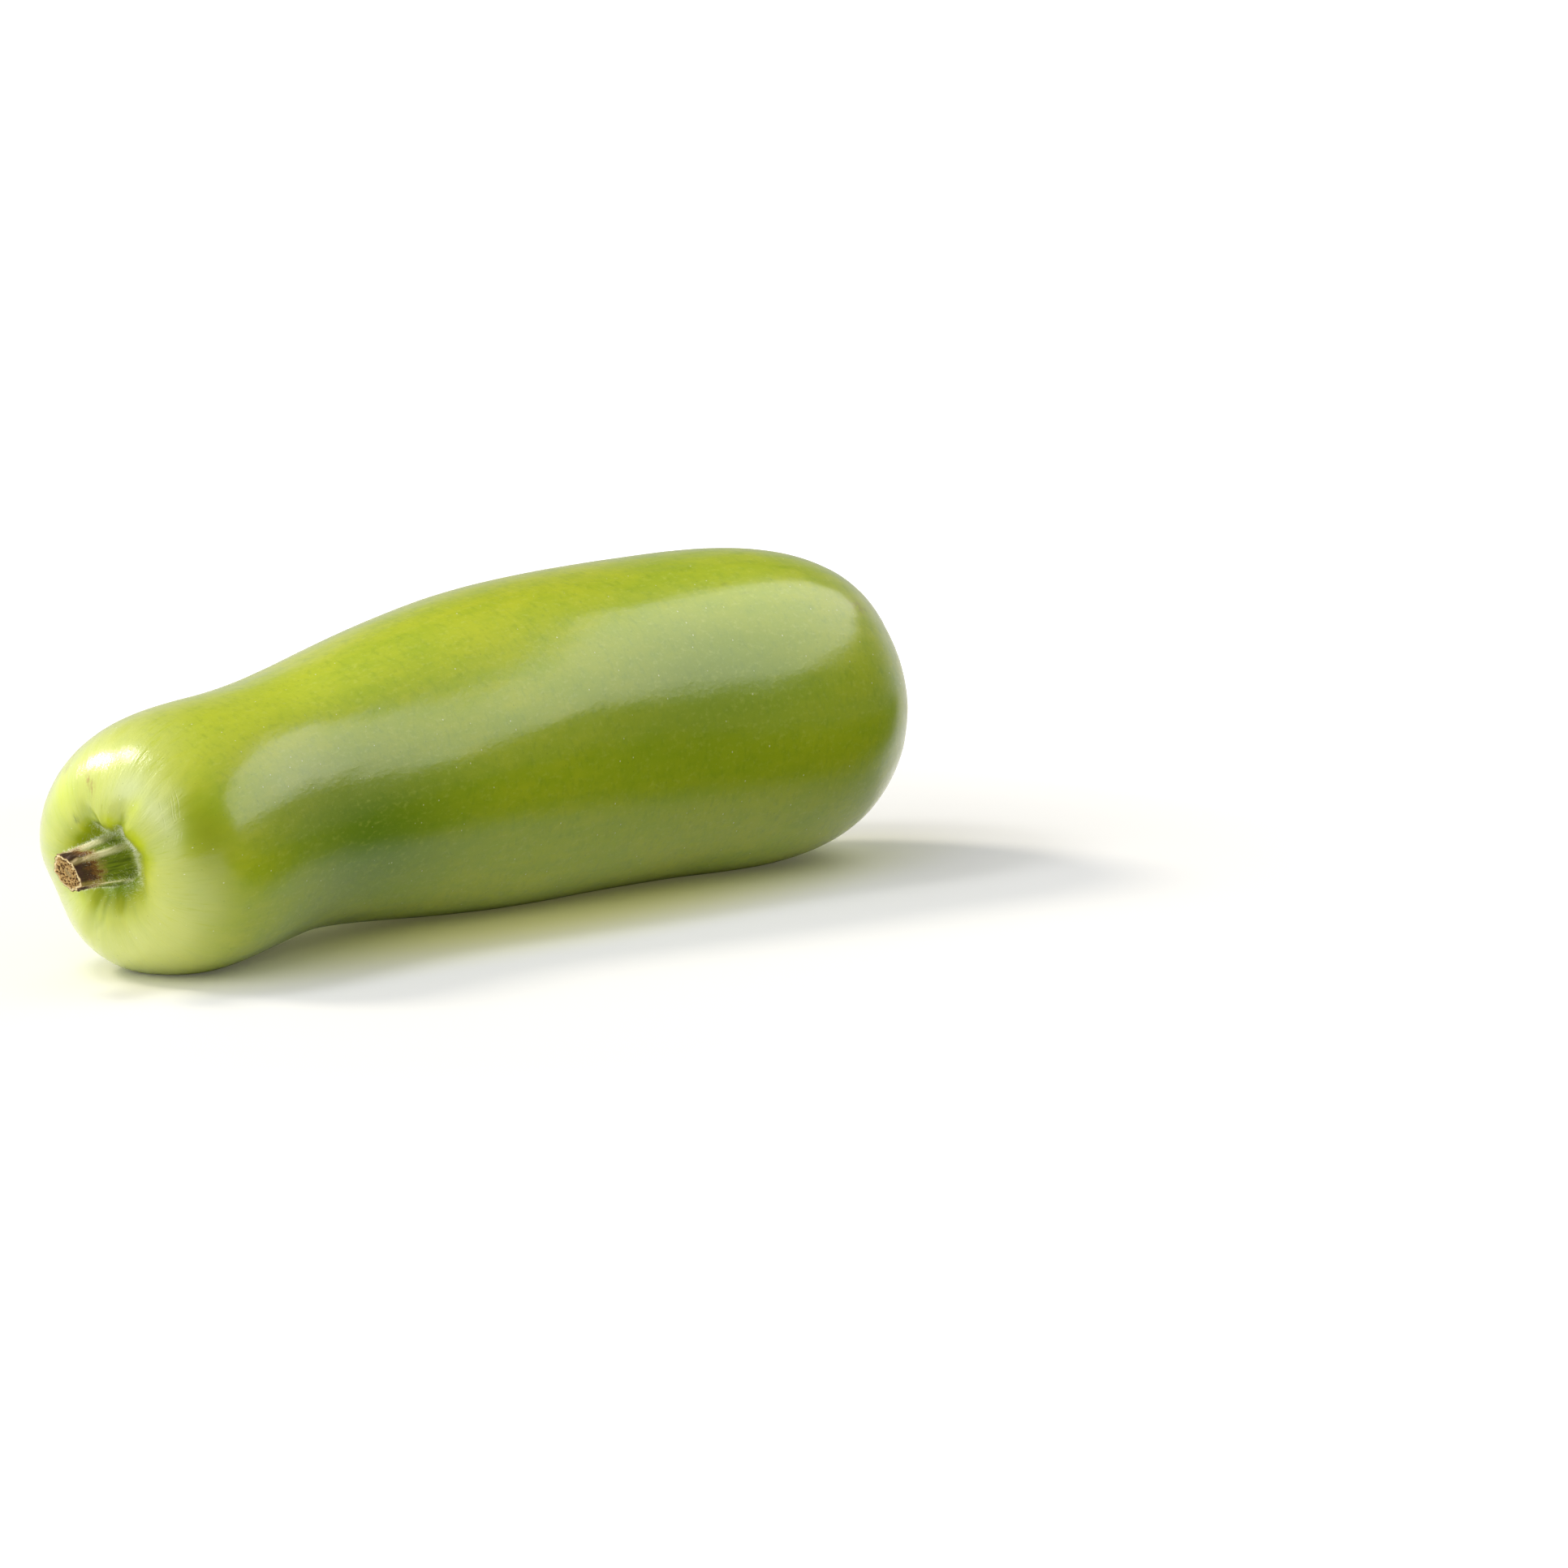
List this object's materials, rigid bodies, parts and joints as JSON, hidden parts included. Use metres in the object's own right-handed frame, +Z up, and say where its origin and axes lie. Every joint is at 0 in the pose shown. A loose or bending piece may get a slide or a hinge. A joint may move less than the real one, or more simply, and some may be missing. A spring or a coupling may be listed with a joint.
{
  "type": "bottle gourd",
  "caption": "Whole fresh bottle gourd lying on its side: a bowed, club-shaped fruit with a lobed crown, a soft waist, a full belly and a ridged, cut stalk stub.",
  "frame": {"origin": "on the surface it lies on, under the middle of the part's box", "axes": "+Z up, +X along the fruit from the stalk towards the blossom end, +Y to the side that the fruit bows to"},
  "size_m": [0.3296, 0.1092, 0.1001],
  "materials": {
    "skin": "thin waxy plant skin, yellow-green, satin-glossy, with paler flecks and streaks",
    "stalk": "matt hairy stalk, green at the foot and dried brown at the cut"
  },
  "bodies": {
    "root": {"fruit": "skin", "stem": "stalk"}
  },
  "joints": []
}
